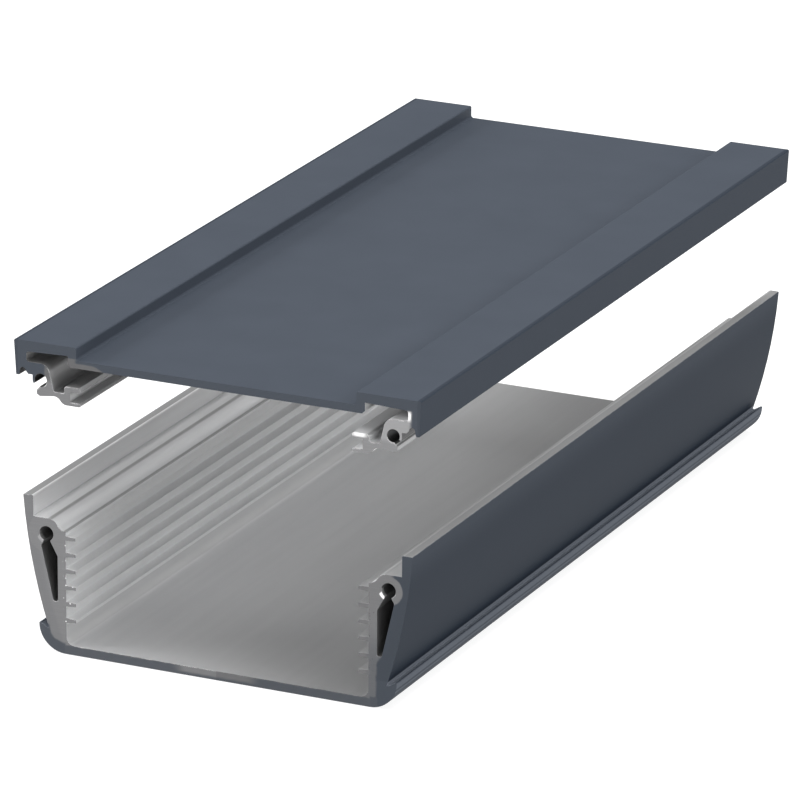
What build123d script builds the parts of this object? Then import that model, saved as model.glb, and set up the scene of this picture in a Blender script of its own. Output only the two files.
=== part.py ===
"""Two-part extruded aluminium enclosure: a ribbed tray and its lift-off lid.

Both pieces are lengths cut from an extruded section, so each is one closed
outline pushed along Y. A section is drawn from the front, in X and Z, right
half only, and mirrored. Sizes are in millimetres and +Z is up. The origin lies
on the underside, at the middle of the length and of the width.
"""

from build123d import *
from math import cos, radians, sin
import os

# Overall sizes
length = 273.0            # both sections are sawn to this
base_width = 125.0        # over the tops of the side walls
base_height = 47.6        # underside to the tops of the side walls
lid_raised = 36.8         # the lid hangs this far above its closed place

# Base: floor, rounded foot, and the clip channel along it
floor_t = 2.8
foot_radius = 8.5
foot_inset = 4.8          # wall top's outer face in to the foot's outer face
clip_t = 0.5              # flat top of the clip lip
clip_run = 2.1            # its sloping back, down to the channel
clip_depth = 1.2

# Base: side wall, which leans in towards the foot and bows outwards
wall_lean = 8.0
wall_bow = 1.25           # at mid height
side_depth = 13.8         # wall top's outer face in to the inner face
web_foot_radius = 2.5

# Base: rail on top of the wall, the ledge inside it, and the shoulder below
rail_t = 3.3
rail_height = 6.4
rail_round = 0.35
ledge_w = 5.0
shoulder_drop = 3.3

# Base: card guides down the inner face
rib_pitch = 5.08
rib_reach = 3.2
rib_root_t = 1.5
rib_tip_t = 1.0
rib_top_gap = 2.0         # shoulder to the first rib's middle
rib_floor_gap = 6.0       # no rib comes nearer the floor than this

# Base: screw channel, and the long cavity that opens out of it
base_port_r = 2.3
base_port_inset = 7.5     # from the wall top's outer face
base_port_drop = 4.8      # below the ledge
neck_outer = 0.7          # sides of the neck, from the channel's middle
neck_inner = 1.3
neck_top = 1.8            # how far below the channel's middle the neck starts
cavity_outer_drop = 3.8   # where the cavity's two sides start, below the channel
cavity_inner_drop = 6.5
cavity_foot = 8.6         # above the clip channel
cavity_foot_w = 1.5
cavity_round = 0.6
skin_t = 3.9              # outer skin beside the cavity's top
web_t = 2.7               # inner web beside all of it

# Lid: skirt outside the rail, round-topped groove, and the lip over the rail
skirt_gap = 0.8           # skirt's tip to the rail
skirt_t = 1.0
skirt_lean = 0.6
skirt_overlap = 0.4       # skirt's tip below the rail's top when closed
seat_gap = 0.2            # lip to the rail's top when closed
groove_w = 2.1
groove_depth = 1.9
groove_lean = 0.3
lip_slope = 0.9

# Lid: top, measured down from the side bands
lid_lip_depth = 10.1
recess_depth = 3.85       # sunken middle panel
panel_t = 2.35
band_w = 20.2             # raised band along each side
band_t = 2.8
band_t_outer = 3.3
step_t = 2.7              # upright between the band and the panel
step_chamfer = 0.9
side_t = 4.0              # outer wall beside the undercut
undercut_depth = 6.4
undercut_start = 0.3      # outwards from the screw channel's middle
undercut_round = 0.9
panel_fillet = 0.8
top_round = 0.5

# Lid: C-shaped screw channel in its boss
lid_port_r = 2.0
port_wall = 0.65
rail_gap = 0.25           # channel's wall to the rail's inner face when closed
lid_port_depth = 11.4
slot_start = -28.0        # the C is open between these two angles
slot_end = -80.0
boss_w = 3.0              # channel's middle in to the pocket
boss_lean = 1.3
boss_shoulder = 2.4       # channel's middle up to where the boss rounds over

# Lid: flange under the channel, ending outwards in a hook
flange_t = 1.4
flange_depth = 15.7
hook_reach = 1.3          # beyond the channel's middle
hook_t = 1.2
hook_keel = 0.6           # the hook's underside hangs this much lower
keel_offset = 0.3

# Lid: open-topped pocket, and the fork that opens inwards
pocket_w = 3.3
pocket_round = 0.5
fork_depth = 17.9
fork_reach = 21.7         # lid's outer face in to the prongs' tips
fork_wall = 2.0
fork_gap = 3.1
fork_heel = 0.8
lower_prong_t = 1.1
upper_prong_t = 1.6
prong_bevel = 0.6

# Places that both sections are drawn from
front_face = Plane.XZ.offset(length / 2)
half = base_width / 2
rail_x = half - rail_t
lid_top = base_height + seat_gap + lid_lip_depth + lid_raised

# Base
ledge_z = base_height - rail_height
ledge_x = rail_x - ledge_w
inner_x = half - side_depth
shoulder_z = ledge_z - shoulder_drop
foot_x = half - foot_inset
clip_z = foot_radius - clip_depth
wall_mid_z = (clip_z + base_height) / 2
shoulder_mid = ((ledge_x + inner_x) / 2, (ledge_z + shoulder_z) / 2)
port_x = half - base_port_inset
port_z = ledge_z - base_port_drop
cavity_low = clip_z + cavity_foot
cavity_high = port_z - cavity_outer_drop
web_x = inner_x + web_t


def wall_x(z):
    """Outer face of the base's side wall at height z."""
    up = (z - clip_z) / (base_height - clip_z)
    return half - wall_lean * (1 - up) + 4 * wall_bow * up * (1 - up)


with BuildPart() as base:
    with BuildSketch(front_face) as base_section:
        with BuildLine():
            # Underside, rounded foot, clip channel and the bowed wall
            Line((0, 0), (foot_x - foot_radius, 0))
            RadiusArc((foot_x - foot_radius, 0), (foot_x, foot_radius), -foot_radius)
            Polyline(
                (foot_x, foot_radius),
                (foot_x - clip_t, foot_radius),
                (foot_x - clip_t - clip_run, clip_z),
                (wall_x(clip_z), clip_z),
            )
            ThreePointArc(
                (wall_x(clip_z), clip_z),
                (wall_x(wall_mid_z), wall_mid_z),
                (half, base_height),
            )
            # Rail, ledge, the shoulder's two arcs, inner face and floor
            Polyline(
                (half, base_height),
                (rail_x, base_height),
                (rail_x, ledge_z),
                (ledge_x, ledge_z),
            )
            upper_arc = TangentArc((ledge_x, ledge_z), shoulder_mid, tangent=(-1, 0))
            TangentArc(shoulder_mid, (inner_x, shoulder_z), tangent=upper_arc % 1)
            Polyline((inner_x, shoulder_z), (inner_x, floor_t), (0, floor_t), (0, 0))
        make_face()
        fillet(base_section.vertices().group_by(Axis.Y)[-1], rail_round)
        fillet(base_section.vertices().sort_by_distance((inner_x, floor_t))[0], web_foot_radius)

        # Card guides
        rib_z = shoulder_z - rib_top_gap
        while rib_z > floor_t + rib_floor_gap:
            with BuildLine():
                Polyline(
                    (inner_x + web_t / 2, rib_z + rib_root_t / 2),
                    (inner_x, rib_z + rib_root_t / 2),
                    (inner_x - rib_reach, rib_z + rib_tip_t / 2),
                    (inner_x - rib_reach, rib_z - rib_tip_t / 2),
                    (inner_x, rib_z - rib_root_t / 2),
                    (inner_x + web_t / 2, rib_z - rib_root_t / 2),
                    close=True,
                )
            make_face()
            rib_z -= rib_pitch

        # Screw channel, its neck and the cavity
        with Locations((port_x, port_z)):
            Circle(base_port_r, mode=Mode.SUBTRACT)
        with BuildSketch(mode=Mode.PRIVATE) as cavity:
            with BuildLine():
                Polyline(
                    (port_x + neck_outer, port_z - neck_top),
                    (wall_x(cavity_high) - skin_t, cavity_high),
                    (web_x + cavity_foot_w, cavity_low),
                    (web_x, cavity_low),
                    (web_x, port_z - cavity_inner_drop),
                    (port_x - neck_inner, port_z - base_port_r),
                    (port_x - neck_inner, port_z - neck_top),
                    close=True,
                )
            make_face()
            fillet(cavity.vertices().group_by(Axis.Y)[0], cavity_round)
        add(cavity.sketch, mode=Mode.SUBTRACT)
        mirror(about=Plane.YZ)
    extrude(amount=-length)

# Lid, drawn where it hangs above the base
skirt_x = half + skirt_gap
lid_half = skirt_x + skirt_t + skirt_lean
lip_z = lid_top - lid_lip_depth
skirt_tip_z = lip_z - seat_gap - skirt_overlap
groove_z = lip_z + groove_depth / 2
groove_outer_x = skirt_x - groove_lean
groove_inner_x = skirt_x - groove_w
lip_x = rail_x - rail_gap
recess_z = lid_top - recess_depth
panel_under_z = recess_z - panel_t
band_x = lid_half - band_w
step_x = band_x + step_t
undercut_x = lid_half - side_t
undercut_z = lid_top - undercut_depth
band_under_z = lid_top - band_t_outer
lid_port_x = lip_x - port_wall - lid_port_r
lid_port_z = lid_top - lid_port_depth
boss_top = (lid_port_x + undercut_start, undercut_z)
boss_side = (lid_port_x - boss_w, lid_port_z + boss_shoulder)
boss_foot_x = lid_port_x - boss_w - boss_lean
flange_z = lid_top - flange_depth
flange_top_z = flange_z + flange_t
hook_x = lid_port_x + hook_reach
fork_back_x = boss_foot_x - pocket_w
fork_slot_x = fork_back_x - fork_wall
fork_tip_x = lid_half - fork_reach
prong_x = fork_tip_x + prong_bevel
fork_z = lid_top - fork_depth
slot_z = fork_z + lower_prong_t
slot_top_z = slot_z + fork_gap
fork_top_z = slot_top_z + upper_prong_t
heel = (fork_back_x - fork_heel, fork_z)
sweep_mid = ((boss_foot_x + heel[0]) / 2, (flange_z + fork_z) / 2)


def around_port(angle, radius):
    """Point on a circle round the lid's screw channel, 0 degrees outwards."""
    turn = radians(angle)
    return (lid_port_x + radius * cos(turn), lid_port_z + radius * sin(turn))


with BuildPart() as lid:
    with BuildSketch(front_face) as lid_section:
        with BuildLine():
            # Panel, step up to the band, and down the skirt's outer face
            Polyline(
                (0, recess_z),
                (band_x, recess_z),
                (band_x, lid_top),
                (lid_half, lid_top),
                (skirt_x + skirt_t, skirt_tip_z),
                (skirt_x, skirt_tip_z),
                (groove_outer_x, groove_z),
            )
            # Groove, and the lip that comes down over the rail
            ThreePointArc(
                (groove_outer_x, groove_z),
                ((groove_outer_x + groove_inner_x) / 2, lip_z + groove_depth),
                (groove_inner_x, groove_z),
            )
            Polyline(
                (groove_inner_x, groove_z),
                (groove_inner_x - lip_slope, lip_z),
                (lip_x, lip_z),
                (lip_x, lid_port_z),
            )
            # Screw channel: the outside of its wall, its lip and its bore
            wall_end = around_port(slot_start, lid_port_r + port_wall)
            bore_start = around_port(slot_start, lid_port_r)
            bore_end = around_port(slot_end, lid_port_r)
            RadiusArc((lip_x, lid_port_z), wall_end, lid_port_r + port_wall)
            Line(wall_end, bore_start)
            bore_top = around_port(180 + (slot_start + slot_end) / 2, lid_port_r)
            ThreePointArc(bore_start, bore_top, bore_end)
            # Hook and the flange's underside, which sweeps down to the fork
            Polyline(
                bore_end,
                (hook_x, flange_z + hook_t),
                (hook_x, flange_z),
                (lid_port_x + keel_offset, flange_z - hook_keel),
                (boss_foot_x, flange_z),
            )
            sweep_start = TangentArc((boss_foot_x, flange_z), sweep_mid, tangent=(-1, 0))
            TangentArc(sweep_mid, heel, tangent=sweep_start % 1)
            # Fork, pocket and the boss's side
            Polyline(
                heel,
                (prong_x, fork_z),
                (fork_tip_x, fork_z + prong_bevel),
                (prong_x, slot_z),
                (fork_slot_x, slot_z),
                (fork_slot_x, slot_top_z),
                (prong_x, slot_top_z),
                (fork_tip_x, slot_top_z + prong_bevel),
                (prong_x, fork_top_z),
                (fork_back_x, fork_top_z),
                (fork_back_x, flange_top_z),
                (boss_foot_x, flange_top_z),
                boss_side,
            )
            # Over the boss, round the undercut, and back along under the panel
            RadiusArc(boss_side, boss_top, boss_w)
            Polyline(
                boss_top,
                (undercut_x, undercut_z),
                (undercut_x, band_under_z),
                (step_x, lid_top - band_t),
                (step_x, panel_under_z + step_chamfer),
                (step_x - step_chamfer, panel_under_z),
                (0, panel_under_z),
                (0, recess_z),
            )
        make_face()
        rounded_corners = [
            ((band_x, recess_z), panel_fillet),
            ((band_x, lid_top), top_round),
            ((lid_half, lid_top), top_round),
            ((undercut_x, undercut_z), undercut_round),
            ((undercut_x, band_under_z), undercut_round),
            ((fork_back_x, fork_top_z), undercut_round),
            ((fork_back_x, flange_top_z), pocket_round),
            ((boss_foot_x, flange_top_z), pocket_round),
        ]
        for corner, radius in rounded_corners:
            fillet(lid_section.vertices().sort_by_distance(corner)[0], radius)
        mirror(about=Plane.YZ)
    extrude(amount=-length)

base.part.label = "base"
lid.part.label = "lid"
os.makedirs("parts", exist_ok=True)
export_step(base.part, "parts/base.step")
export_step(lid.part, "parts/lid.step")
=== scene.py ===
# %% [markdown]
# # A painted aluminium enclosure, opened up
#
# The real object is two lengths of extruded aluminium: a tray with card ribs, and a lid that drops over it.
# Both were sprayed dark grey on the outside and left bare inside, and the spray reached parts of the sawn
# ends too. The shapes come from the CAD frame, which is never changed here. This script adds the finishes,
# a plain studio and a camera, and it measures as it goes.

# %% Load the frame
import math

import bpy
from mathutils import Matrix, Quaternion, Vector


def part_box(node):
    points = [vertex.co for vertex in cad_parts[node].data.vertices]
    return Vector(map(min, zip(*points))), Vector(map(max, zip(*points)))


MM = 1000.0

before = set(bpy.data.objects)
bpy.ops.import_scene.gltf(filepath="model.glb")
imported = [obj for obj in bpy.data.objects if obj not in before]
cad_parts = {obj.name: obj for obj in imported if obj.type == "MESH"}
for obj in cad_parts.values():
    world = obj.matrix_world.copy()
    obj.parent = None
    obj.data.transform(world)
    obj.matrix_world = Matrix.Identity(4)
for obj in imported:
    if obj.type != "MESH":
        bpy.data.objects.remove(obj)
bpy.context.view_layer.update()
base_low, base_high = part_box("base")
lid_low, lid_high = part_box("lid")
print("pieces", sorted(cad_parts))
print("the lid hangs", round((lid_low.z - base_high.z) * MM, 1), "mm over the rails")

# %% [markdown]
# ## Where the camera stands
#
# A product photographer shoots a long object from far away with a long lens, so that its far end doesn't
# shrink. The place can be found by trial, or worked out from a few corners whose size is known. Here it was
# worked out: the angles, the distance and the lens are what makes the corners land where they should. The
# camera aims at a point in the plane of the front ends.

# %% Where the camera looks from
AZIMUTH = math.radians(25.07)
ELEVATION = math.radians(18.79)
DISTANCE = 2.0697
AIM_RIGHT = 0.0583
AIM_HEIGHT = 0.0943

towards_camera = Vector((
    math.sin(AZIMUTH) * math.cos(ELEVATION),
    -math.cos(AZIMUTH) * math.cos(ELEVATION),
    math.sin(ELEVATION),
))
aim = Vector((AIM_RIGHT, base_low.y, AIM_HEIGHT))
print("camera looks at", [round(value, 3) for value in aim])

# %% Set up the camera
ROLL = math.radians(0.285)
FOCAL_PIXELS = 7338.0
FRAME_PIXELS = 800
SENSOR_MM = 36.0
CLIP_END = 20.0

camera = bpy.data.objects.new("camera", bpy.data.cameras.new("camera"))
bpy.context.scene.collection.objects.link(camera)
camera.location = aim + towards_camera * DISTANCE
camera.rotation_mode = "QUATERNION"
camera.rotation_quaternion = (-towards_camera).to_track_quat("-Z", "Y") @ Quaternion((0, 0, 1), ROLL)
camera.data.sensor_width = SENSOR_MM
camera.data.lens = FOCAL_PIXELS * SENSOR_MM / FRAME_PIXELS
camera.data.clip_end = CLIP_END
bpy.context.scene.camera = camera
print("camera at", [round(value, 3) for value in camera.location], "lens", round(camera.data.lens), "mm")

# %% [markdown]
# ## The studio floor
#
# Catalogue pictures are often shot on a light table: a pale sheet lit from below, so that the ground blows
# out to white and the shadow under the object stays faint. A white sheet under strong lamps would do it
# too, but those lamps would also wash out the object. So one large quad glows by itself: the glow makes it
# white, and its own colour is a modest grey, which keeps the shadow faint. It lies a hair under the tray,
# so the two surfaces never share a plane.

# %% Lay the floor
FLOOR_SIZE = 12.0
FLOOR_GAP = 0.0002

half_floor = FLOOR_SIZE / 2
signs = ((-1, -1), (1, -1), (1, 1), (-1, 1))
floor_corners = [(x * half_floor, y * half_floor, -FLOOR_GAP) for x, y in signs]
floor_mesh = bpy.data.meshes.new("floor")
floor_mesh.from_pydata(floor_corners, [], [(0, 1, 2, 3)])
floor = bpy.data.objects.new("floor", floor_mesh)
bpy.context.scene.collection.objects.link(floor)
print("floor", FLOOR_SIZE, "m square,", FLOOR_GAP * MM, "mm under the tray")

# %% Light the floor from below
TABLE_GREY = (0.25, 0.25, 0.25, 1)
TABLE_ROUGH = 0.9
TABLE_GLOW = 0.84

light_table = bpy.data.materials.new("light_table")
light_table.use_nodes = True
sheet = light_table.node_tree.nodes["Principled BSDF"].inputs
sheet["Base Color"].default_value = TABLE_GREY
sheet["Roughness"].default_value = TABLE_ROUGH
sheet["Emission Color"].default_value = (1, 1, 1, 1)
sheet["Emission Strength"].default_value = TABLE_GLOW
floor_mesh.materials.append(light_table)
print("light table glows at", TABLE_GLOW)

# %% [markdown]
# ## The even glow
#
# A studio with white walls sends a little light from everywhere. A world of one white does the same, with
# no walls to build. The Standard view keeps the greys as they are, with no film curve over them.

# %% Fill the studio with an even glow
GLOW = 0.4

world = bpy.data.worlds.new("studio")
world.use_nodes = True
world.node_tree.nodes["Background"].inputs["Color"].default_value = (1, 1, 1, 1)
world.node_tree.nodes["Background"].inputs["Strength"].default_value = GLOW
bpy.context.scene.world = world
bpy.context.scene.view_settings.view_transform = "Standard"
print("studio glow", GLOW, "seen through the Standard view")

# %% [markdown]
# ## The softboxes
#
# Painted metal shows its planes only when each plane gets its own amount of light. The broad light overhead
# sets the top faces. The softbox on the right stands low enough to shine in under the raised lid, onto the
# ribs and the floor at the left, and the one on the left gives the faces that look left their sheen. All
# three are large, because small lamps would draw hard shadows and hot spots. They hang alike, so one
# function makes them.

# %% Hang the softboxes


def softbox(name, place, width, height, watts):
    """A rectangular lamp that faces the middle of the object."""
    light = bpy.data.lights.new(name, "AREA")
    light.shape = "RECTANGLE"
    light.size = width
    light.size_y = height
    light.energy = watts
    lamp = bpy.data.objects.new(name, light)
    bpy.context.scene.collection.objects.link(lamp)
    lamp.location = place
    lamp.rotation_mode = "QUATERNION"
    middle = Vector((0, 0, lid_high.z / 2))
    lamp.rotation_quaternion = (middle - lamp.location).to_track_quat("-Z", "Y")
    print(name, "lamp,", watts, "W, from", round((lamp.location - middle).length, 2), "m")
    return lamp


softbox("left", place=(-2.2, -0.6, 0.76), width=1.4, height=0.9, watts=70)
softbox("right", place=(2.1, -0.3, 1.1), width=1.2, height=0.9, watts=32)
softbox("overhead", place=(0.1, 0.2, 2.4), width=2.4, height=2.4, watts=75)

# %% [markdown]
# ## Nodes that read like sums
#
# A finish that changes over the surface is a sum of masks, and each term is a node. Adding nodes one by one
# in code is long. These short functions add a node, fill its sockets from numbers or from other nodes, and
# hand back the output, so a mask reads like a formula. A socket knows its own tree, so the tree isn't
# passed along.

# %% Add a node and feed its sockets


def feed(socket, value):
    """Links a node's output to the socket, or sets the socket to a number or a colour."""
    if isinstance(value, bpy.types.NodeSocket):
        socket.id_data.links.new(value, socket)
    else:
        socket.default_value = value


def place_node(tree, kind, sockets=None, **settings):
    """Adds a node to a tree, with its settings and its sockets filled in."""
    placed = tree.nodes.new(kind)
    for name, value in settings.items():
        setattr(placed, name, value)
    for name, value in (sockets or {}).items():
        feed(placed.inputs[name], value)
    return placed


def tree_of(*values):
    """The node tree of the first value that comes from a node."""
    return next(value.id_data for value in values if isinstance(value, bpy.types.NodeSocket))


print("node helpers:", feed.__name__, place_node.__name__, tree_of.__name__)

# %% Sums


def arithmetic(operation, first, second=0.0):
    """One Math node. At least one of the two values comes from a node."""
    placed = place_node(tree_of(first, second), "ShaderNodeMath", operation=operation)
    feed(placed.inputs[0], first)
    feed(placed.inputs[1], second)
    return placed.outputs[0]


def add(first, second):
    return arithmetic("ADD", first, second)


def less(first, second):
    return arithmetic("SUBTRACT", first, second)


def times(first, second):
    return arithmetic("MULTIPLY", first, second)


def size_of(value):
    return arithmetic("ABSOLUTE", value)


def distance(x, z, centre_x, centre_z):
    """How far a point lies from a centre, across the section."""
    aside = arithmetic("POWER", less(x, centre_x), 2.0)
    over = arithmetic("POWER", less(z, centre_z), 2.0)
    return arithmetic("SQRT", add(aside, over))


print("sums:", [step.__name__ for step in (add, less, times, size_of, distance)])

# %% [markdown]
# ## Masks
#
# A mask is a number between 0 and 1 at each point of the surface. It is cut with soft steps, because no
# edge between two finishes is perfectly sharp. Masks are joined as sets are: one or the other is their
# maximum, and both at once is their product. A step is as wide as its softness says, in millimetres where
# the value is a place.

# %% Masks
SOFT, CRISP = 0.2, 0.1


def without(mask):
    return less(1.0, mask)


def either(*masks):
    """1 where any of the masks is 1."""
    joined = masks[0]
    for mask in masks[1:]:
        joined = arithmetic("MAXIMUM", joined, mask)
    return joined


def both(*masks):
    """1 only where all of the masks are 1."""
    joined = masks[0]
    for mask in masks[1:]:
        joined = times(joined, mask)
    return joined


def above(value, limit, soft=SOFT):
    """1 where the value is over the limit, with a soft step as wide as soft."""
    reach = {"Value": value, "From Min": limit - soft / 2, "From Max": limit + soft / 2}
    placed = place_node(tree_of(value), "ShaderNodeMapRange", reach, interpolation_type="SMOOTHSTEP")
    return placed.outputs["Result"]


def below(value, limit, soft=SOFT):
    return without(above(value, limit, soft))


def ridge(value, middle, half_width):
    """1 at the middle, fading to 0 over the half width on both sides."""
    return below(size_of(less(value, middle)), half_width * 0.6, half_width * 0.8)


print("masks:", [step.__name__ for step in (without, either, both, above, below, ridge)])

# %% Blends


def socket_of_kind(sockets, name, kind):
    """A Mix node has a socket of each name for each kind of value, so the kind picks one."""
    return next(socket for socket in sockets if socket.name == name and socket.type == kind)


def blend(mask, first, second):
    """The first colour where the mask is 0, the second where it is 1."""
    placed = place_node(tree_of(mask, first, second), "ShaderNodeMix", data_type="RGBA")
    feed(placed.inputs["Factor"], mask)
    feed(socket_of_kind(placed.inputs, "A", "RGBA"), first)
    feed(socket_of_kind(placed.inputs, "B", "RGBA"), second)
    return socket_of_kind(placed.outputs, "Result", "RGBA")


def mix(mask, first, second):
    """The same for plain numbers."""
    values = {"Factor": mask, "A": first, "B": second}
    placed = place_node(tree_of(mask, first, second), "ShaderNodeMix", values, data_type="FLOAT")
    return placed.outputs["Result"]


print("blends:", blend.__name__, "for colours,", mix.__name__, "for numbers")

# %% [markdown]
# ## Shared effects are node groups
#
# The tray and the lid come from the same works, so they share their effects: die lines, sprayed paint, the
# spray's edge, the sawn ends and the two colours. Each effect is built once, as a node group with named
# sockets, and placed in both materials with its own values. A group hands out masks, values and colours
# only, and the shader that uses them stays in the material.

# %% Start a node group
FLOAT, VECTOR, COLOUR = "NodeSocketFloat", "NodeSocketVector", "NodeSocketColor"


def new_group(name, inputs, outputs):
    """An empty node group with named sockets, what it is given and what it has to make."""
    group = bpy.data.node_groups.new(name, "ShaderNodeTree")
    for label, kind, value in inputs:
        socket = group.interface.new_socket(label, in_out="INPUT", socket_type=kind)
        if value is not None:
            socket.default_value = value
    for label, kind in outputs:
        group.interface.new_socket(label, in_out="OUTPUT", socket_type=kind)
    given = group.nodes.new("NodeGroupInput").outputs
    made = group.nodes.new("NodeGroupOutput").inputs
    print("group", name, "puts out", [label for label, _ in outputs])
    return group, given, made


print("kinds of socket:", FLOAT, VECTOR, COLOUR)

# %% [markdown]
# ## Die lines
#
# A section squeezed through a steel die carries the die's scratches along its whole length: streaks that
# barely change in Y and change fast across. A picture of brushed metal would repeat, and would have to be
# wrapped round the section. Noise has no seam, so it is drawn out along Y: a wide set for the soft light
# and dark bands, and a fine set for the lines.

# %% Group: die_lines
LINE_SQUEEZE = 0.012
BAND_SQUEEZE = 0.05

die_lines, given, made = new_group(
    "die_lines",
    [("Place mm", VECTOR, None), ("Line width mm", FLOAT, 0.35), ("Band width mm", FLOAT, 3.0)],
    [("Lines", FLOAT), ("Bands", FLOAT)],
)


def streaks(place, width, squeeze, detail):
    """Noise about as wide as the width, drawn out along Y."""
    tree = tree_of(place)
    factors = {0: place, 1: (1.0, squeeze, 1.0)}
    drawn_out = place_node(tree, "ShaderNodeVectorMath", factors, operation="MULTIPLY").outputs[0]
    looks = {"Vector": drawn_out, "Scale": arithmetic("DIVIDE", 1.0, width), "Detail": detail}
    return place_node(tree, "ShaderNodeTexNoise", looks).outputs["Fac"]


feed(made["Lines"], streaks(given["Place mm"], given["Line width mm"], LINE_SQUEEZE, detail=2.0))
feed(made["Bands"], streaks(given["Place mm"], given["Band width mm"], BAND_SQUEEZE, detail=1.0))
print(die_lines.name, len(die_lines.nodes), "nodes")

# %% [markdown]
# ## Sprayed paint
#
# The paint dried as a fine, slightly pebbled skin. The pebbles are about a third of a millimetre, too small
# to model, so they are a height for a Bump node. A wide, faint mottling keeps the colour from being one
# flat number, as a real coat is a little thicker here and thinner there.

# %% Group: sprayed_coat
MOTTLING_SCALE = 0.06

sprayed_coat, given, made = new_group(
    "sprayed_coat",
    [("Place mm", VECTOR, None), ("Pebble mm", FLOAT, 0.35)],
    [("Pebbles", FLOAT), ("Mottling", FLOAT)],
)
fine = {"Vector": given["Place mm"], "Scale": arithmetic("DIVIDE", 1.0, given["Pebble mm"]), "Detail": 2.0}
wide = {"Vector": given["Place mm"], "Scale": MOTTLING_SCALE, "Detail": 3.0}
feed(made["Pebbles"], place_node(sprayed_coat, "ShaderNodeTexNoise", fine).outputs["Fac"])
feed(made["Mottling"], place_node(sprayed_coat, "ShaderNodeTexNoise", wide).outputs["Fac"])
print(sprayed_coat.name, len(sprayed_coat.nodes), "nodes")

# %% [markdown]
# ## Where the spray stops
#
# No sprayed edge is a ruled line: it wanders and it fades. This group takes a distance in millimetres that
# grows towards the paint, shakes it with noise, and turns it into a soft mask. Each border of paint on both
# parts goes through it, with its own shake and softness.

# %% Group: spray_limit
WANDER_SCALE = 0.45
NOISE_MIDDLE = 0.5

spray_limit, given, made = new_group(
    "spray_limit",
    [
        ("Inside mm", FLOAT, 0.0),
        ("Place mm", VECTOR, None),
        ("Shake mm", FLOAT, 0.5),
        ("Fade mm", FLOAT, 0.4),
    ],
    [("Paint", FLOAT)],
)
looks = {"Vector": given["Place mm"], "Scale": WANDER_SCALE, "Detail": 4.0}
wander = place_node(spray_limit, "ShaderNodeTexNoise", looks).outputs["Fac"]
shaken = add(given["Inside mm"], times(less(wander, NOISE_MIDDLE), times(given["Shake mm"], 2.0)))
half_fade = times(given["Fade mm"], 0.5)
reach = {"Value": shaken, "From Min": times(half_fade, -1.0), "From Max": half_fade}
edge = place_node(spray_limit, "ShaderNodeMapRange", reach, interpolation_type="SMOOTHSTEP")
feed(made["Paint"], edge.outputs["Result"])
print(spray_limit.name, len(spray_limit.nodes), "nodes")

# %% [markdown]
# ## Sawn ends
#
# A saw leaves fine, nearly level lines on the end faces. The end faces are found by their true normal,
# which points along Y, so the same material can tell an end from a side. The lines are noise that is
# stretched across and squeezed in height.

# %% Group: sawn_end, the face and its saw lines
END_FACING = 0.7
SAW_STRETCH = (0.12, 1.0, 6.0)

sawn_end, given, made = new_group(
    "sawn_end",
    [("Place mm", VECTOR, None), ("Burr width m", FLOAT, 0.0003)],
    [("End face", FLOAT), ("Saw lines", FLOAT), ("Burr", FLOAT), ("Specks", FLOAT)],
)
normal = place_node(sawn_end, "ShaderNodeNewGeometry").outputs["True Normal"]
facing = place_node(sawn_end, "ShaderNodeSeparateXYZ", {0: normal}).outputs
end_face = above(size_of(facing["Y"]), END_FACING, CRISP)
stretch = {0: given["Place mm"], 1: SAW_STRETCH}
tilted = place_node(sawn_end, "ShaderNodeVectorMath", stretch, operation="MULTIPLY").outputs[0]
saw_lines = place_node(sawn_end, "ShaderNodeTexNoise", {"Vector": tilted, "Scale": 0.9, "Detail": 3.0})
feed(made["End face"], end_face)
feed(made["Saw lines"], saw_lines.outputs["Fac"])
print("an end face looks along Y by more than", END_FACING)

# %% [markdown]
# ## The saw's burr
#
# Along its edges the saw leaves a torn burr, and here and there a torn grain. Both are too fine to model.
# The Bevel node finds the edges: it returns the normal that a small rounding would have, and where that
# differs from the true normal an edge is near. Only edges that turn upwards catch the light, so the mask
# keeps those, and that bright edge is partly the real burr and partly a painted highlight. Noise breaks them
# up. The grains are the middles of Voronoi cells, and only some are kept.

# %% Group: sawn_end, the burr and the specks
BURR_TURN = 0.22
TORN_SCALE, TORN_FROM = 0.7, 0.46
GRAIN_SCALE, GRAIN_SIZE, GRAIN_LOT = 0.95, 0.2, 0.45

bevel = place_node(sawn_end, "ShaderNodeBevel", {"Radius": given["Burr width m"]}, samples=2)
rounded = place_node(sawn_end, "ShaderNodeSeparateXYZ", {0: bevel.outputs["Normal"]}).outputs
upward = above(less(rounded["Z"], facing["Z"]), BURR_TURN, soft=0.3)
looks = {"Vector": given["Place mm"], "Scale": TORN_SCALE, "Detail": 2.0}
torn = above(place_node(sawn_end, "ShaderNodeTexNoise", looks).outputs["Fac"], TORN_FROM)
cells = {"Vector": given["Place mm"], "Scale": GRAIN_SCALE}
grains = place_node(sawn_end, "ShaderNodeTexVoronoi", cells)
speck = below(grains.outputs["Distance"], GRAIN_SIZE, soft=0.16)
lot = place_node(sawn_end, "ShaderNodeSeparateColor", {0: grains.outputs["Color"]}).outputs[0]
feed(made["Burr"], both(end_face, upward, torn))
feed(made["Specks"], both(end_face, speck, above(lot, GRAIN_LOT, CRISP)))
print(sawn_end.name, len(sawn_end.nodes), "nodes")
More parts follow.
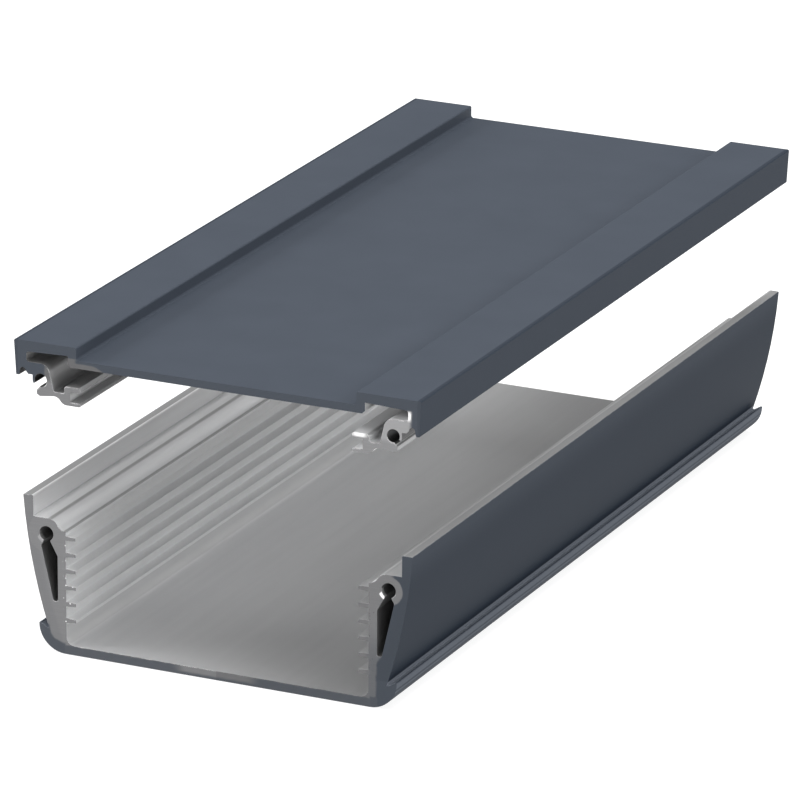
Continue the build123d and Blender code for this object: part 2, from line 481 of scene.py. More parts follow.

# %% [markdown]
# ## The colour of bare metal
#
# Drawn aluminium is nearly white, a little darker and lighter along the die's lines and bands. A sawn end
# scatters the light, so it is a middle grey. Both sink towards one dark grey where shade is painted on, and
# torn edges and painted glints are the brightest of all. On metal the base colour tints the reflections, so
# the values are high. Tray and lid are the same metal, so this is a group too, and each material hands it
# its own masks.

# %% Group: metal_colour
DRAWN_DARK, DRAWN_LIGHT = (0.84, 0.845, 0.85, 1), (0.98, 0.98, 0.985, 1)
SAWN_DARK, SAWN_LIGHT = (0.21, 0.21, 0.215, 1), (0.30, 0.30, 0.305, 1)
# The dark grey that bare metal sinks to where shade is painted on.
SHADED_METAL = (0.05, 0.05, 0.052, 1)
# The colour of torn metal, and of painted highlights and glints.
BURR_AND_GLINT = (0.95, 0.95, 0.95, 1)
BAND_CONTRAST, LINE_CONTRAST = 0.5, 0.35
METAL_MASKS = ("Lines", "Bands", "Saw lines", "End face", "Dull", "End shade", "Bright")

metal_colour, given, made = new_group(
    "metal_colour",
    [(label, FLOAT, 0.0) for label in METAL_MASKS],
    [("Colour", COLOUR)],
)
band_shine = times(less(given["Bands"], NOISE_MIDDLE), BAND_CONTRAST)
line_shine = times(less(given["Lines"], NOISE_MIDDLE), LINE_CONTRAST)
drawn = blend(add(NOISE_MIDDLE, add(band_shine, line_shine)), DRAWN_DARK, DRAWN_LIGHT)
sawn = blend(given["Saw lines"], SAWN_DARK, SAWN_LIGHT)
drawn_or_shaded = blend(given["Dull"], drawn, SHADED_METAL)
sawn_or_shaded = blend(given["End shade"], sawn, SHADED_METAL)
bare = blend(given["End face"], drawn_or_shaded, sawn_or_shaded)
feed(made["Colour"], blend(given["Bright"], bare, BURR_AND_GLINT))
print(metal_colour.name, len(metal_colour.nodes), "nodes")

# %% [markdown]
# ## The colour of the paint
#
# The paint is a dark blue grey. It starts from the mottled coat and sinks towards a darker tone where shade
# is painted on. On the ends it lies thin over the saw's marks and looks dusty, and on the sides it is
# lightest where light is painted on.

# %% Group: paint_colour
PAINT_DARK, PAINT_LIGHT = (0.038, 0.046, 0.060, 1), (0.046, 0.055, 0.071, 1)
# The tone that the paint sinks to where shade is painted on.
SHADED_PAINT = (0.014, 0.020, 0.030, 1)
PAINT_DUSTY = (0.070, 0.080, 0.096, 1)
# The tone of painted light on the paint.
PAINT_LIT = (0.205, 0.225, 0.26, 1)
END_DUST = 0.6
PAINT_MASKS = ("Mottling", "End face", "Deep", "Worn")

paint_colour, given, made = new_group(
    "paint_colour",
    [(label, FLOAT, 0.0) for label in PAINT_MASKS],
    [("Colour", COLOUR)],
)
coat = blend(given["Mottling"], PAINT_DARK, PAINT_LIGHT)
coat = blend(given["Deep"], coat, SHADED_PAINT)
coat = blend(times(given["End face"], END_DUST), coat, PAINT_DUSTY)
lit_side = both(given["Worn"], without(given["End face"]))
feed(made["Colour"], blend(lit_side, coat, PAINT_LIT))
print(paint_colour.name, len(paint_colour.nodes), "nodes")

# %% [markdown]
# ## One material for each section
#
# Paint and bare metal meet on the same solid, so each section gets one material that mixes the two by mask.
# Splitting the faces into two materials would be simpler, but a sprayed edge doesn't follow the faces. Both
# materials start the same way: the place on the surface in millimetres, measured on the section itself, so
# that the pattern moves with the lid. The zones are then filled one by one, and the shader reads them last.

# %% Start the two materials


class Section:
    """A section's material in the making: where its masks start from, and the zones that they fill."""

    def __init__(self, name, burr_width):
        self.material = bpy.data.materials.new(name)
        self.material.use_nodes = True
        self.tree = self.material.node_tree
        spot = place_node(self.tree, "ShaderNodeTexCoord").outputs["Object"]
        in_mm = {0: spot, "Scale": MM}
        self.place = place_node(self.tree, "ShaderNodeVectorMath", in_mm, operation="SCALE").outputs[0]
        split = place_node(self.tree, "ShaderNodeSeparateXYZ", {0: self.place}).outputs
        self.x, self.y, self.z = split["X"], split["Y"], split["Z"]
        self.across = size_of(self.x)
        self.marks = self.use(sawn_end, Burr_width_m=burr_width)
        self.on_end = self.marks["End face"]
        # The paint's mask, painted shade on bare metal and on paint, painted light on paint; then the ends'
        # shade, the bright places and the painted glints.
        self.painted = self.metal_shade = self.coat_shade = self.coat_light = 0.0
        self.end_shade = self.bright = self.painted_glint = 0.0
        print("material", name, "starts with", len(self.tree.nodes), "nodes")

    def use(self, group, **values):
        """Places a shared group, with spaces in its socket names written as underscores."""
        placed = place_node(self.tree, "ShaderNodeGroup", node_tree=group)
        if "Place mm" in placed.inputs:
            feed(placed.inputs["Place mm"], self.place)
        for name, value in values.items():
            feed(placed.inputs[name.replace("_", " ")], value)
        return placed.outputs

    def spray(self, inside, shake, fade):
        """The paint's mask, from a distance that grows towards the paint."""
        return self.use(spray_limit, Inside_mm=inside, Shake_mm=shake, Fade_mm=fade)["Paint"]


tray = Section("tray_paint_and_bare", burr_width=0.0003)
cover = Section("lid_paint_and_bare", burr_width=0.0006)

# %% [markdown]
# ## The tray's outer skin
#
# The spray came from outside, so most masks on the tray start from one number: the depth under the outer
# skin. The wall leans out and is bowed, so its skin is a straight line plus a parabola that is zero at the
# foot and at the rail.

# %% Tray: depth under the skin
FOOT_X, RAIL_X = 54.5, 62.5
FOOT_Z, RAIL_Z = 8.0, 47.6
BOW = 1.25

climb = arithmetic("DIVIDE", less(tray.z, FOOT_Z), RAIL_Z - FOOT_Z)
bulge = times(times(climb, without(climb)), 4 * BOW)
skin = add(add(FOOT_X, times(climb, RAIL_X - FOOT_X)), bulge)
depth = less(skin, tray.across)
print("tray skin from x", FOOT_X, "to", RAIL_X, "mm, bowed", BOW, "mm")

# %% [markdown]
# ## Where the tray is painted
#
# On the long faces the paint covers the outer wall and the foot with its clip channel. The underside can't
# be seen in the photo, and is taken to be painted too. The rail's top looks wiped, with only a hair of
# paint left along its outer edge.

# %% Tray: paint on the long faces
PAINT_DEPTH = 0.9
UNDERSIDE_Z = 0.5
FOOT_FROM_X, FOOT_TO_Z = 49.0, 9.0
WIPED_Z, WIPED_TO_X = 47.45, 62.3

outer_wall = below(depth, PAINT_DEPTH, CRISP)
underside = below(tray.z, UNDERSIDE_Z, CRISP)
foot = both(above(tray.across, FOOT_FROM_X, CRISP), below(tray.z, FOOT_TO_Z, CRISP))
wiped = tray.spray(less(WIPED_TO_X, tray.across), shake=0.1, fade=0.4)
wiped_rail = both(above(tray.z, WIPED_Z, CRISP), wiped)
tray_long = both(either(outer_wall, underside, foot), without(wiped_rail))
print("rail wiped bare from z", WIPED_Z, "mm up, as far out as x", WIPED_TO_X)

# %% [markdown]
# ## The right wall's end
#
# Each screw channel has a bare ring round it, as a plug would leave. On the right wall the spray took the
# outer part of the end. The border steps outwards twice on its way up: beside the hollow, and again beside
# the screw channel. Low down, a thin haze reaches further in.

# %% Tray: paint on the right wall's end
PORT_X, PORT_Z = 55.0, 36.4
RING = 4.4
PAINT_FROM_X = 50.9
HOLLOW_FROM_Z, HOLLOW_SHIFT = 15.0, 1.6
PORT_FROM_Z, PORT_SHIFT = 34.0, 3.9

right_side = above(tray.x, 0.0, CRISP)
from_port = distance(tray.across, tray.z, PORT_X, PORT_Z)
off_ring = tray.spray(less(from_port, RING), shake=0.15, fade=0.5)
beside_hollow = times(above(tray.z, HOLLOW_FROM_Z, soft=4.0), HOLLOW_SHIFT)
beside_port = times(above(tray.z, PORT_FROM_Z, soft=6.0), PORT_SHIFT)
border = add(add(PAINT_FROM_X, beside_hollow), beside_port)
outer_part = tray.spray(less(tray.across, border), shake=0.6, fade=1.6)
right_wall = both(right_side, outer_part, off_ring)
print("bare ring of", RING, "mm round each screw channel")

# %% [markdown]
# ## Thin spray on the walls' ends
#
# Spray that only grazes an end leaves a haze, not a coat. A haze is a mask that never reaches 1. It is wide
# and soft on the right wall, and a mere breath near the skin of the left one, whose end is otherwise bare.

# %% Tray: haze on the walls' ends
HAZE_X, HAZE_TO_Z, HAZE = 48.4, 20.0, 0.45
BREATH_RING, BREATH_DEPTH, BREATH = 6.0, 3.2, 0.12

haze = tray.spray(less(tray.across, HAZE_X), shake=1.0, fade=2.5)
right_haze = both(right_side, haze, below(tray.z, HAZE_TO_Z, soft=14.0))
breath = tray.spray(less(from_port, BREATH_RING), shake=0.2, fade=0.5)
left_haze = both(without(right_side), breath, below(depth, BREATH_DEPTH, soft=1.5))
print("haze at", HAZE, "on the right wall's end and at", BREATH, "on the left one's")

# %% [markdown]
# ## The foot's end and the floor's edge
#
# Both feet carry a dark band along their rounding, which is a distance from the rounding's centre. The
# floor's end is a dark edge too, with a thinner patch in the middle.

# %% Tray: paint on the foot's end and the floor's edge
ROUND_X, ROUND_Z = 49.2, 8.5
BAND_FROM, BAND_TO_Z, BAND = 5.2, 8.6, 0.88
EDGE_TO_Z, EDGE = 2.7, 0.8
RUBBED_TO_X, RUBBED_FROM_Z, RUBBED = 12.0, 0.9, 0.9

from_foot = distance(tray.across, tray.z, ROUND_X, ROUND_Z)
band_coat = tray.spray(less(from_foot, BAND_FROM), shake=0.4, fade=0.9)
under_channel = both(below(tray.z, BAND_TO_Z, soft=0.6), above(tray.across, FOOT_FROM_X, soft=1.0))
foot_band = both(under_channel, band_coat)
rubbed = both(below(tray.across, RUBBED_TO_X, soft=5.0), above(tray.z, RUBBED_FROM_Z, soft=1.0))
edge_coat = tray.spray(less(EDGE_TO_Z, tray.z), shake=0.45, fade=0.5)
floor_edge = both(edge_coat, without(times(rubbed, RUBBED)))
print("foot band from", BAND_FROM, "mm off the rounding's centre")

# %% Tray: the paint's mask
strong = either(right_wall, times(foot_band, BAND), times(floor_edge, EDGE))
faint = either(times(right_haze, HAZE), times(left_haze, BREATH))
tray.painted = mix(tray.on_end, tray_long, either(strong, faint))
print(tray.material.name, "has", len(tray.tree.nodes), "nodes so far")

# %% [markdown]
# ## Painted shade in the hollows and creases
#
# Bare aluminium isn't equally bright everywhere. Inside the hollows and the screw channels it is dark in the
# photo, and so are the two creases of the shoulder. Shadow alone doesn't give this, because bright metal
# lights itself in a corner. So shade is painted there: the colour is made darker.

# %% Tray: hollows and creases
HOLLOW_FROM_X, HOLLOW_TO_Z = 50.9, 34.6
HOLLOW_SKIN = 1.2
BORE = 2.6
UPPER_CREASE_X, LOWER_CREASE_X = 53.9, 48.95
CREASE_FROM_Z, CREASE_TO_Z = 37.5, 42.0
HOLLOW_SHADE, CREASE_SHADE = 0.66, 0.5

hollow_height = both(below(tray.z, HOLLOW_TO_Z, soft=0.5), above(tray.z, HOLLOW_FROM_Z, soft=0.5))
hollow = both(above(tray.across, HOLLOW_FROM_X), above(depth, HOLLOW_SKIN), hollow_height)
in_port = below(from_port, BORE)
upper_crease = ridge(tray.across, UPPER_CREASE_X, half_width=1.1)
lower_crease = ridge(tray.across, LOWER_CREASE_X, half_width=0.7)
shoulder_height = both(above(tray.z, CREASE_FROM_Z), below(tray.z, CREASE_TO_Z, soft=0.4))
creases = both(either(upper_crease, lower_crease), shoulder_height)
# Painted shade in the hollows, the screw channels and the shoulder's creases.
hollow_shade = either(times(either(hollow, in_port), HOLLOW_SHADE), times(creases, CREASE_SHADE))
print("hollow dulled by", HOLLOW_SHADE, "and the creases by", CREASE_SHADE)

# %% [markdown]
# ## The tray's floor
#
# The floor is the widest bare face, and the photo doesn't show it as one grey: it is bright along the left
# wall, greyer towards the right wall and the far end, and a little greyer at the front. This is painted
# shade: moving the lamps and roughening the metal didn't give it, so three wide, soft steps paint it on the
# section itself. The border of the grey leans to the left as it goes back, so the step in X is shifted by
# a part of Y.

# %% Tray: the floor's greys
FLOOR_TO_Z, FLOOR_TO_X = 4.5, 48.9
LEAN_FROM_Y, LEAN = -60.0, 0.23
GREY_X, LEFT_FLOOR_SHADE, RIGHT_FLOOR_SHADE = 10.0, 0.05, 0.5
FRONT_Y, FRONT_FLOOR_SHADE = -100.0, 0.12
BACK_Y, BACK_FLOOR_SHADE = 100.0, 0.25

on_floor = both(below(tray.z, FLOOR_TO_Z, soft=2.0), below(tray.across, FLOOR_TO_X, soft=0.5))
shift = either(times(less(tray.y, LEAN_FROM_Y), LEAN), 0.0)
to_right = above(add(tray.x, shift), GREY_X, soft=90.0)
at_front = times(below(tray.y, FRONT_Y, soft=60.0), FRONT_FLOOR_SHADE)
at_back = times(above(tray.y, BACK_Y, soft=80.0), BACK_FLOOR_SHADE)
# Painted shade on the floor: greyer to the right, at the back and at the front.
floor_shade = both(on_floor, add(mix(to_right, LEFT_FLOOR_SHADE, RIGHT_FLOOR_SHADE), add(at_front, at_back)))
print("floor dulled from", LEFT_FLOOR_SHADE, "at the left to", RIGHT_FLOOR_SHADE, "at the right")

# %% [markdown]
# ## Ribs, ledge and rail
#
# Smaller places get their own amount of painted shade: the ribs and their tips, the web's foot, and the
# right wall's ribs and shoulder, which are made darker than the left ones. The ledge is a faint line of
# painted shade, and the rail's top is made grey.

# %% Tray: ribs
RIBS_FROM_X, RIBS_TO_X, RIBS_FROM_Z = 44.6, 49.6, 8.0
TIPS_TO_X = 46.4
SHOULDER_Z = 38.6
WEB_FOOT_X, WEB_FOOT_Z = 47.4, 9.0
RIB_SHADE, TIP_SHADE, WEB_FOOT_SHADE = 0.09, 0.1, 0.28
RIGHT_RIB_SHADE, RIGHT_SHOULDER_SHADE = 0.5, 0.45

rib_width = both(above(tray.across, RIBS_FROM_X, soft=0.6), below(tray.across, RIBS_TO_X, soft=0.6))
rib_zone = both(rib_width, above(tray.z, RIBS_FROM_Z, soft=1.0))
tips = both(below(tray.across, TIPS_TO_X, soft=0.3), rib_zone)
web_foot = both(above(tray.across, WEB_FOOT_X, soft=0.8), below(tray.z, WEB_FOOT_Z, soft=0.6))
shoulder = times(above(tray.z, SHOULDER_Z, soft=0.4), RIGHT_SHOULDER_SHADE)
on_right = both(right_side, either(times(rib_zone, RIGHT_RIB_SHADE), shoulder))
# Painted shade on the ribs, their tips, the web's foot, and the right wall's ribs and shoulder.
rib_shade = either(times(rib_zone, RIB_SHADE), times(tips, TIP_SHADE), times(web_foot, WEB_FOOT_SHADE))
rib_shade = either(rib_shade, on_right)
print("ribs between x", RIBS_FROM_X, "and", RIBS_TO_X, "mm")

# %% Tray: ledge and rail
LEDGE_X, LEDGE_Z, LEDGE_SHADE = 54.0, 41.2, 0.14
RAIL_IN_X, RAIL_TOP_Z, RAIL_GREY = 59.8, 47.4, 0.6

ledge = both(above(tray.across, LEDGE_X, soft=0.3), ridge(tray.z, LEDGE_Z, half_width=0.4))
rail_top = both(above(tray.z, RAIL_TOP_Z, CRISP), above(tray.across, RAIL_IN_X, soft=0.3))
# Painted shade on the ledge; the rail's top is made grey.
ledge_shade_and_rail_grey = either(times(ledge, LEDGE_SHADE), times(rail_top, RAIL_GREY))
print("rail's top dulled by", RAIL_GREY, "and the ledge by", LEDGE_SHADE)

# %% [markdown]
# ## The lit mouth of a screw channel
#
# In the first millimetre or two of each channel the left side shows bright, a painted highlight where the
# light falls in. The mask is that side of the bore, close to the front end, and it takes the painted shade
# away again. After it the tray's shaded places are complete: they are joined by their maximum, so that they
# don't add up to black.

# %% Tray: the channels' mouths, and all painted shade
MOUTH_TO_Y, MOUTH_TO_Z = -134.9, 36.7
LEFT_MOUTH_X, RIGHT_MOUTH_X, MOUTH_REACH = -56.9, 53.1, 1.0
LEFT_SHINE, RIGHT_SHINE = 0.5, 1.0

mouth = both(in_port, below(tray.y, MOUTH_TO_Y, soft=0.8), below(tray.z, MOUTH_TO_Z, soft=0.5))
aside = size_of(less(tray.x, mix(right_side, LEFT_MOUTH_X, RIGHT_MOUTH_X)))
shine = mix(right_side, LEFT_SHINE, RIGHT_SHINE)
# A painted highlight: the lit side of each channel's mouth loses its painted shade.
lit_mouth = both(mouth, below(aside, MOUTH_REACH, soft=0.5), shine)
# All painted shade on the tray's bare metal, and the rail's grey, less the mouths' painted highlight.
tray.metal_shade = both(either(hollow_shade, floor_shade, rib_shade, ledge_shade_and_rail_grey), without(lit_mouth))
print("channels lit for", round(MOUTH_TO_Y - base_low.y * MM, 1), "mm behind the front end")

# %% [markdown]
# ## Painted shade and painted light on the tray's paint
#
# The tray's paint is made darker all over, and most low on the wall, as painted shade. On the foot the
# paint is made lighter, as painted light: most in the clip channel against its shade, less on the lip
# beside it, and along one faint line where the rounding starts.

# %% Tray: painted shade on the tray's paint
WALL_SHADE_FROM_Z, WALL_SHADE_TO_Z = 8.6, 44.0
WALL_SHADE_LEAST, WALL_SHADE_MOST = 0.45, 1.0

low_wall = both(below(tray.z, WALL_SHADE_TO_Z, soft=14.0), above(tray.z, WALL_SHADE_FROM_Z, soft=0.3))
# Painted shade on the tray's paint: some everywhere, and full low on the wall.
tray.coat_shade = mix(low_wall, WALL_SHADE_LEAST, WALL_SHADE_MOST)
print("deep paint from z", WALL_SHADE_FROM_Z, "to", WALL_SHADE_TO_Z, "mm")

# %% Tray: painted light on the foot
CHANNEL_FROM_X, CHANNEL_TO_X = 53.5, 57.1
CHANNEL_FROM_Z, CHANNEL_TO_Z, CHANNEL_LIGHT = 6.9, 8.4, 0.85
LIP_X, LIP_FROM_Z, LIP_TO_Z, LIP_LIGHT = 57.2, 6.6, 8.3, 0.22
LIP_TOP_Z, LIP_TOP_LIGHT = 8.5, 0.14
LINE_Z, LINE_LIGHT = 5.6, 0.2

channel_height = both(below(tray.z, CHANNEL_TO_Z), above(tray.z, CHANNEL_FROM_Z, soft=0.3))
channel_width = both(below(tray.across, CHANNEL_TO_X, soft=0.3), above(tray.across, CHANNEL_FROM_X, soft=0.3))
channel = times(both(channel_height, channel_width), CHANNEL_LIGHT)
lip_height = both(above(tray.z, LIP_FROM_Z, soft=0.5), below(tray.z, LIP_TO_Z))
lip_face = times(both(above(tray.across, LIP_X), lip_height), LIP_LIGHT)
lip_top = both(above(tray.across, CHANNEL_TO_X), ridge(tray.z, LIP_TOP_Z, half_width=0.6))
foot_line = times(ridge(tray.z, LINE_Z, half_width=0.6), LINE_LIGHT)
# Painted light on the foot's paint: in the clip channel, on its lip and along one line.
tray.coat_light = either(channel, lip_face, times(lip_top, LIP_TOP_LIGHT), foot_line)
print("paint worn by", CHANNEL_LIGHT, "in the clip channel and by", LIP_LIGHT, "on its lip")

# %% [markdown]
# ## Painted glints at the screw channels
#
# At the lower left of each screw channel sits a small painted glint, a bright metal colour where the rim
# of the hole catches the light. It is a piece of a ring round the channel, cut out by an angle. On the left
# wall it is nearly gone.

# %% Tray: the painted glint at each screw channel
GLINT_FROM, GLINT_TO, GLINT_ASIDE = 2.2, 3.2, 1.6
LEFT_GLINT, RIGHT_GLINT = 0.15, 1.0

glint_ring = both(above(from_port, GLINT_FROM), below(from_port, GLINT_TO, soft=0.4), tray.on_end)
to_left = less(mix(right_side, -PORT_X, PORT_X), tray.x)
lower_left = less(less(PORT_Z, tray.z), size_of(less(to_left, GLINT_ASIDE)))
glint_strength = mix(right_side, LEFT_GLINT, RIGHT_GLINT)
# A painted glint at the lower left of each screw channel.
tray.painted_glint = both(glint_ring, above(lower_left, 0.0, soft=0.6), glint_strength)
print("flap", round(GLINT_TO - GLINT_FROM, 1), "mm wide at each screw channel")

# %% [markdown]
# ## The tray's sawn ends
#
# The right wall's end is a little darker than the left one, its rib ends are darker still, and small
# smudges sit between them. The left wall's rib ends carry bright grains of torn metal instead. So the same
# grains from the shared group darken one side and brighten the other.

# %% Tray: shade of the sawn ends
LEFT_END_SHADE, RIGHT_END_SHADE = 0.2, 0.34
RIB_END_X, RIB_END_SHADE = 48.6, 0.42
SMUDGE_TO_X, SMUDGE_Z, SMUDGE_REACH, SMUDGE_SHADE = 51.0, 22.0, 22.0, 0.8

rib_ends = both(right_side, below(tray.across, RIB_END_X, soft=0.3))
smudge_height = ridge(tray.z, SMUDGE_Z, half_width=SMUDGE_REACH)
smudge_width = below(tray.across, SMUDGE_TO_X, soft=0.5)
smudges = both(right_side, tray.marks["Specks"], smudge_height, smudge_width)
wall_shade = mix(right_side, LEFT_END_SHADE, RIGHT_END_SHADE)
tray.end_shade = either(wall_shade, times(rib_ends, RIB_END_SHADE), times(smudges, SMUDGE_SHADE))
print("end shade", LEFT_END_SHADE, "left and", RIGHT_END_SHADE, "right")

# %% Tray: burr and grains of the sawn ends
RIB_END_BURR = 0.25

# The up-facing burr edges: partly real burr, partly painted highlight.
torn_edges = both(tray.marks["Burr"], mix(rib_ends, 1.0, RIB_END_BURR))
bright_grains = both(tray.marks["Specks"], rib_zone, without(right_side))
tray.bright = either(torn_edges, bright_grains, tray.painted_glint)
print(tray.material.name, "has", len(tray.tree.nodes), "nodes so far")

# %% [markdown]
# ## Where the lid is painted
#
# The lid's top, its sides and the two small steps down to the panel are painted, and everything below is
# bare. The top is found by its normal and its height, the sides and steps by their distance from the
# middle. The paint on the sides is made darker, as painted shade.

# %% Lid: paint on the long faces
PANEL_Z = 90.7
STEP_X, SKIRT_X = 45.3, 63.7
FACING_UP = 0.3
SIDE_SHADE = 0.7

normal = place_node(cover.tree, "ShaderNodeNewGeometry").outputs["True Normal"]
facing_up = place_node(cover.tree, "ShaderNodeSeparateXYZ", {0: normal}).outputs["Z"]
over_panel = above(cover.z, PANEL_Z, CRISP)
top = both(above(facing_up, FACING_UP, CRISP), over_panel)
steps = both(below(cover.across, STEP_X, CRISP), over_panel)
skirt_side = above(cover.across, SKIRT_X)
lid_long = either(top, skirt_side, steps)
# Painted shade on the lid's sides.
cover.coat_shade = times(skirt_side, SIDE_SHADE)
print("lid painted above z", PANEL_Z, "mm and outside x", SKIRT_X)

# %% [markdown]
# ## The lid's ends
#
# On the lid's ends the spray reached the raised band, the skirt and the panel's edge, and faded out towards
# the hook and the fork. It reached further in on the left, down to the outer part of the screw channel.
# Plugs kept a ring bare here too.

# %% Lid: paint on the band and the skirt
BAND_Z, BAND_X = 91.2, 44.0
SKIRT_FROM_LEFT, SKIRT_FROM_RIGHT = 57.8, 61.6

lid_right = above(cover.x, 0.0, CRISP)
lid_left = without(lid_right)
band_coat = cover.spray(less(cover.z, BAND_Z), shake=0.3, fade=0.5)
band = both(band_coat, above(cover.across, BAND_X, soft=1.0))
skirt_from = mix(lid_right, SKIRT_FROM_LEFT, SKIRT_FROM_RIGHT)
skirt = cover.spray(less(cover.across, skirt_from), shake=0.5, fade=1.6)
print("skirt painted from x", SKIRT_FROM_LEFT, "on the left and", SKIRT_FROM_RIGHT, "on the right")

# %% Lid: paint on the panel's edge
EDGE_FROM_LEFT, EDGE_FROM_REST, LEFT_PART_X = 90.0, 87.0, -36.0
EDGE_TO_LEFT, EDGE_TO_RIGHT = 45.0, 48.0

edge_from = mix(above(cover.x, LEFT_PART_X, soft=8.0), EDGE_FROM_LEFT, EDGE_FROM_REST)
edge_to = mix(lid_right, EDGE_TO_LEFT, EDGE_TO_RIGHT)
edge_coat = cover.spray(less(cover.z, edge_from), shake=0.2, fade=0.5)
panel_edge = both(edge_coat, above(less(edge_to, cover.across), 0.0, soft=1.0))
print("panel's edge painted from z", EDGE_FROM_REST, "mm, and at its left from z", EDGE_FROM_LEFT)

# %% Lid: the bare ring, the left boss and the paint's mask
LID_PORT_X, LID_PORT_Z = 56.3, 83.3
LID_RING_LEFT, LID_RING_RIGHT = 2.0, 3.4
BOSS_X, BOSS_Z = 55.0, 82.4

from_lid_port = distance(cover.across, cover.z, LID_PORT_X, LID_PORT_Z)
lid_ring = mix(lid_right, LID_RING_LEFT, LID_RING_RIGHT)
off_lid_ring = cover.spray(less(from_lid_port, lid_ring), shake=0.1, fade=0.4)
boss_coat = cover.spray(less(cover.across, BOSS_X), shake=0.4, fade=0.8)
left_boss = both(lid_left, boss_coat, above(cover.z, BOSS_Z, soft=0.8))
lid_ends = both(either(band, skirt, panel_edge, left_boss), off_lid_ring)
cover.painted = mix(cover.on_end, lid_long, lid_ends)
print("bare ring of", LID_RING_LEFT, "mm left and", LID_RING_RIGHT, "mm right")

# %% [markdown]
# ## Painted shade under the lid
#
# The hook and the fork under the lid get painted shade: their colour is made darker. On the left the shade
# covers them, and the fork's slot gets about half of it. On the right it starts a few millimetres behind
# the end. The pocket over the rail and the channel's bore are painted nearly black.

# %% Lid: painted shade on hook and fork
FORK_X = 42.9
SLOT_FROM_X, SLOT_TO_X, SLOT_Z = 43.9, 48.2, 79.4
UNSHADED_TO_Y = -132.0
LEFT_HOOK_SHADE, SLOT_SHADE, RIGHT_HOOK_SHADE = 0.55, 0.28, 0.35

slot_width = both(above(cover.across, SLOT_FROM_X, soft=0.3), below(cover.across, SLOT_TO_X, soft=0.3))
slot = both(ridge(cover.z, SLOT_Z, half_width=2.0), slot_width)
left_hook_shade = mix(slot, LEFT_HOOK_SHADE, SLOT_SHADE)
right_hook_shade = mix(below(cover.y, UNSHADED_TO_Y, soft=6.0), RIGHT_HOOK_SHADE, 0.0)
# Painted shade on the hook and the fork: all along on the left, behind the end on the right.
under_lid = times(above(cover.across, FORK_X, soft=0.6), mix(lid_right, left_hook_shade, right_hook_shade))
print("film of", LEFT_HOOK_SHADE, "on the left and", RIGHT_HOOK_SHADE, "on the right")

# %% Lid: bore, pocket and the hook's edge, and all painted shade
POCKET_X, POCKET_TO_Z, POCKET_SHADE = 58.5, 87.2, 0.92
HOOK_EDGE_X, HOOK_EDGE_TO_Z, HOOK_EDGE_SHADE = 57.2, 81.5, 0.6
BORE_SHADE = 0.93

bore = times(below(from_lid_port, BORE, soft=0.3), BORE_SHADE)
pocket = both(above(cover.across, POCKET_X, soft=0.3), below(cover.z, POCKET_TO_Z, soft=0.3))
hook_edge = both(above(cover.across, HOOK_EDGE_X, soft=0.3), below(cover.z, HOOK_EDGE_TO_Z, soft=0.3))
# All painted shade on the lid's bare metal: hook, fork, bore, pocket and the hook's edge.
cover.metal_shade = either(under_lid, bore, times(pocket, POCKET_SHADE), times(hook_edge, HOOK_EDGE_SHADE))
print("bore dulled by", BORE_SHADE, "and the pocket by", POCKET_SHADE)

# %% [markdown]
# ## The lid's sawn ends
#
# The left end gets painted shade, most in its upper part. The right end gets painted light: a touch paler
# over its upper part, and two painted glints that shine white: the fork's upper prong, and the corner inside
# the skirt.

# %% Lid: shade, burr and glints of the ends
SHADE_FROM_Z, SHADE_LOW, SHADE_HIGH = 83.5, 0.2, 0.56
PRONG_X, PRONG_Z = 45.6, 82.1
CORNER_X, CORNER_Z = 61.2, 89.7
END_LIGHT_FROM_Z, END_LIGHT = 81.5, 0.1

cover.end_shade = times(lid_left, mix(above(cover.z, SHADE_FROM_Z, soft=2.0), SHADE_LOW, SHADE_HIGH))
right_end = both(lid_right, cover.on_end)
prong = both(ridge(cover.z, PRONG_Z, half_width=1.0), ridge(cover.across, PRONG_X, half_width=3.2))
corner = both(ridge(cover.z, CORNER_Z, half_width=2.2), ridge(cover.across, CORNER_X, half_width=1.0))
# Painted glints on the fork's upper prong and the corner inside the skirt.
cover.painted_glint = both(right_end, either(prong, corner))
# Painted light over the upper part of the right end.
right_end_light = both(right_end, above(cover.z, END_LIGHT_FROM_Z, soft=2.0))
cover.bright = either(cover.marks["Burr"], cover.painted_glint, times(right_end_light, END_LIGHT))
print("left end shaded from", SHADE_LOW, "to", SHADE_HIGH)

# %% [markdown]
# ## Mix paint and bare metal
#
# One Principled shader holds both finishes: the paint's mask drives colour, roughness and metallic, and a
# bump that is pebbled under the paint, lined along the bare faces and scratched on the ends. Two shaders
# and a Mix Shader would do it too, with twice the sockets to feed. The paint's gloss is the same all over,
# so it is set on the shader's own socket.

# %% Place the two colour groups


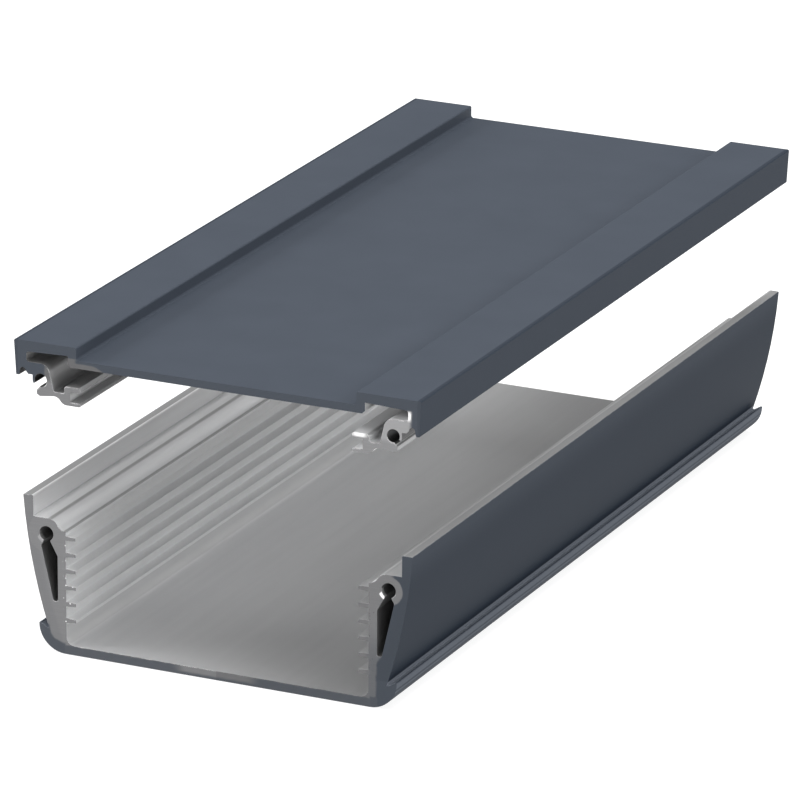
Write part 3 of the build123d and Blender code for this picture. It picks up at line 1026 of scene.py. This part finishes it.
def bare_colour(section, die):
    """The bare metal's colour, from the section's own masks."""
    return section.use(
        metal_colour,
        Lines=die["Lines"],
        Bands=die["Bands"],
        Saw_lines=section.marks["Saw lines"],
        End_face=section.on_end,
        Dull=section.metal_shade,
        End_shade=section.end_shade,
        Bright=section.bright,
    )["Colour"]


def coat_colour(section, mottling):
    """The paint's colour, from the section's own masks."""
    return section.use(
        paint_colour,
        Mottling=mottling,
        End_face=section.on_end,
        Deep=section.coat_shade,
        Worn=section.coat_light,
    )["Colour"]


print("colour groups:", metal_colour.name, "and", paint_colour.name)

# %% Feed the shader of each section
PAINT_ROUGH, BARE_ROUGH, LINE_ROUGH = 0.62, 0.5, 0.12
PAINT_GLOSS = 0.1
LINE_HEIGHT = 0.4
BUMP_STRENGTH, BUMP_DISTANCE = 0.25, 0.00008

for section in (tray, cover):
    shader = section.tree.nodes["Principled BSDF"].inputs
    die = section.use(die_lines)
    coat = section.use(sprayed_coat)
    # A painted glint takes the paint away, so its bright colour shows.
    painted = both(section.painted, without(section.painted_glint))
    lines = mix(section.on_end, die["Lines"], section.marks["Saw lines"])
    height = mix(painted, times(lines, LINE_HEIGHT), coat["Pebbles"])
    relief = {"Strength": BUMP_STRENGTH, "Distance": BUMP_DISTANCE, "Height": height}
    bump = place_node(section.tree, "ShaderNodeBump", relief)
    colour = blend(painted, bare_colour(section, die), coat_colour(section, coat["Mottling"]))
    feed(shader["Base Color"], colour)
    feed(shader["Roughness"], mix(painted, add(BARE_ROUGH, times(lines, LINE_ROUGH)), PAINT_ROUGH))
    feed(shader["Metallic"], without(painted))
    feed(shader["Normal"], bump.outputs["Normal"])
    shader["Specular IOR Level"].default_value = PAINT_GLOSS
    print(section.material.name, "finished with", len(section.tree.nodes), "nodes")

# %% [markdown]
# ## Dress the two sections
#
# The CAD pieces stay as they are, mesh and place. Only their material slots change, so the finish sits on
# the very shapes that were measured.

# %% Put the materials on the two sections
for name, section in (("base", tray), ("lid", cover)):
    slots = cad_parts[name].material_slots
    print(name, "had", [slot.material.name for slot in slots])
    for slot in slots:
        slot.material = section.material

# %% [markdown]
# ## The materials on the pieces
#
# The names of the two materials on the pieces are printed last.

# %% Print the materials on the pieces
print("materials on the pieces:", tray.material.name, "and", cover.material.name)
